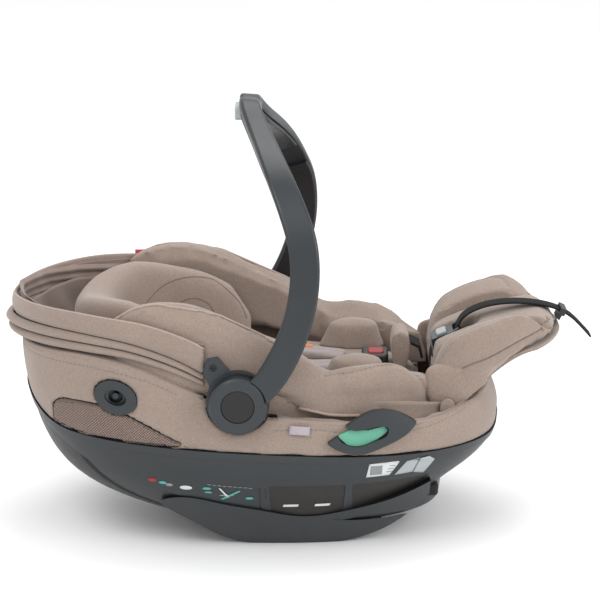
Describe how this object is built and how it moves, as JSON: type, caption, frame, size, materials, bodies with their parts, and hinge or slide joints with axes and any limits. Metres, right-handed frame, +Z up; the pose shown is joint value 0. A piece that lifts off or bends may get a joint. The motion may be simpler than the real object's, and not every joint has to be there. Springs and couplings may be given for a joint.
{
  "type": "infant car seat",
  "caption": "Rear-facing infant car seat: padded shell on rockers with a tilting carrying handle, folding canopy, sliding headrest, harness buckle, hinged leg rest and docking latch bars.",
  "frame": {"origin": "on the floor under the middle of the docking block's flat underside", "axes": "+X from the head end to the foot end, +Z up, -Y the left side"},
  "size_m": [0.7512, 0.4446, 0.5571],
  "materials": {
    "shell_plastic": "fine moulded grain",
    "panel_plastic": "satin",
    "black_plastic": "satin",
    "seat_fabric": "melange knit",
    "mesh_fabric": "open spacer mesh",
    "foam": "moulded energy-absorbing foam",
    "webbing": "woven polyester",
    "steel": "brushed",
    "guide_green": "satin",
    "light_plastic": "satin",
    "red_plastic": "gloss",
    "rubber": "matte"
  },
  "bodies": {
    "shell": {"base_shell": "shell_plastic", "outer_shroud": "shell_plastic", "rim_trim": "shell_plastic", "rocker_rail_left": "shell_plastic", "rocker_rail_right": "shell_plastic", "impact_socket_left": "shell_plastic", "impact_socket_right": "shell_plastic", "belt_guide_left": "shell_plastic", "belt_guide_right": "shell_plastic", "hub_bracket_left": "shell_plastic", "hub_bracket_right": "shell_plastic", "leg_rest_brackets": "shell_plastic", "side_panels_left": "panel_plastic", "side_panels_right": "panel_plastic", "keel_cover": "black_plastic", "dock_block": "black_plastic", "buckle_housing": "black_plastic", "foot_bumper": "rubber", "foam_liner": "foam", "side_cover": "seat_fabric", "side_bolster_left": "seat_fabric", "side_bolster_right": "seat_fabric", "seat_pad": "seat_fabric", "canopy_back_cover": "seat_fabric", "hip_pads": "seat_fabric", "shoulder_pads": "seat_fabric", "crotch_pad": "seat_fabric", "mesh_panel_left": "mesh_fabric", "mesh_panel_right": "mesh_fabric", "harness_straps": "webbing", "crotch_strap": "webbing", "latch_bars": "steel", "handle_axles": "steel", "canopy_pins": "steel", "buckle_tongues": "steel", "leg_rest_pin": "steel", "belt_inserts": "guide_green"},
    "handle": {"handle_frame": "shell_plastic", "handle_liner_left": "black_plastic", "handle_liner_right": "black_plastic", "grip_liner": "black_plastic", "hub_cover_left": "shell_plastic", "hub_cover_right": "shell_plastic"},
    "handle_release_left": {"handle_release_left": "black_plastic"},
    "handle_release_right": {"handle_release_right": "black_plastic"},
    "grip_button": {"grip_button": "light_plastic"},
    "canopy_mid": {"canopy_mid_rib": "black_plastic", "canopy_mid_cover": "seat_fabric"},
    "canopy_front": {"canopy_front_rib": "black_plastic", "canopy_front_cover": "seat_fabric"},
    "headrest": {"headrest_cushion": "seat_fabric", "headrest_bowl": "seat_fabric", "headrest_plate": "shell_plastic"},
    "leg_rest": {"leg_rest_frame": "shell_plastic", "leg_rest_pad": "seat_fabric", "adjuster_housing": "shell_plastic", "adjuster_strap": "webbing", "strap_keeper": "black_plastic"},
    "adjuster_button": {"adjuster_button": "light_plastic"},
    "buckle_button": {"buckle_button": "red_plastic"}
  },
  "joints": [
    {"name": "handle_pivot", "type": "hinge", "parent": "shell", "child": "handle", "pos_m": [-0.076, 0, 0.212], "axis": [0, 1, 0], "range_deg": [-105, 40]},
    {"name": "handle_release_left_press", "type": "slide", "parent": "handle", "child": "handle_release_left", "axis": [0, 1, 0], "range_m": [0, 0.0035], "stiffness_N_per_m": 900},
    {"name": "handle_release_right_press", "type": "slide", "parent": "handle", "child": "handle_release_right", "axis": [0, -1, 0], "range_m": [0, 0.0035], "stiffness_N_per_m": 900},
    {"name": "grip_button_press", "type": "slide", "parent": "handle", "child": "grip_button", "axis": [1, 0, 0], "range_m": [0, 0.0035], "stiffness_N_per_m": 700},
    {"name": "canopy_mid_pivot", "type": "hinge", "parent": "shell", "child": "canopy_mid", "pos_m": [-0.106, 0, 0.256], "axis": [0, 1, 0], "range_deg": [0, 38]},
    {"name": "canopy_front_pivot", "type": "hinge", "parent": "canopy_mid", "child": "canopy_front", "pos_m": [-0.106, 0, 0.256], "axis": [0, 1, 0], "range_deg": [0, 38]},
    {"name": "headrest_slide", "type": "slide", "parent": "shell", "child": "headrest", "axis": [-1, 0, 0], "range_m": [-0.028, 0.028]},
    {"name": "leg_rest_hinge", "type": "hinge", "parent": "shell", "child": "leg_rest", "pos_m": [0.186, 0, 0.182], "axis": [0, -1, 0], "range_deg": [-5, 14]},
    {"name": "adjuster_press", "type": "slide", "parent": "leg_rest", "child": "adjuster_button", "axis": [0.3697, 0, -0.9292], "range_m": [0, 0.0035], "stiffness_N_per_m": 700},
    {"name": "buckle_press", "type": "slide", "parent": "shell", "child": "buckle_button", "axis": [0, 0, -1], "range_m": [0, 0.003], "stiffness_N_per_m": 900}
  ],
  "couplings": [
    {"joint": "canopy_front_pivot", "follows": "canopy_mid_pivot", "ratio": 1}
  ]
}
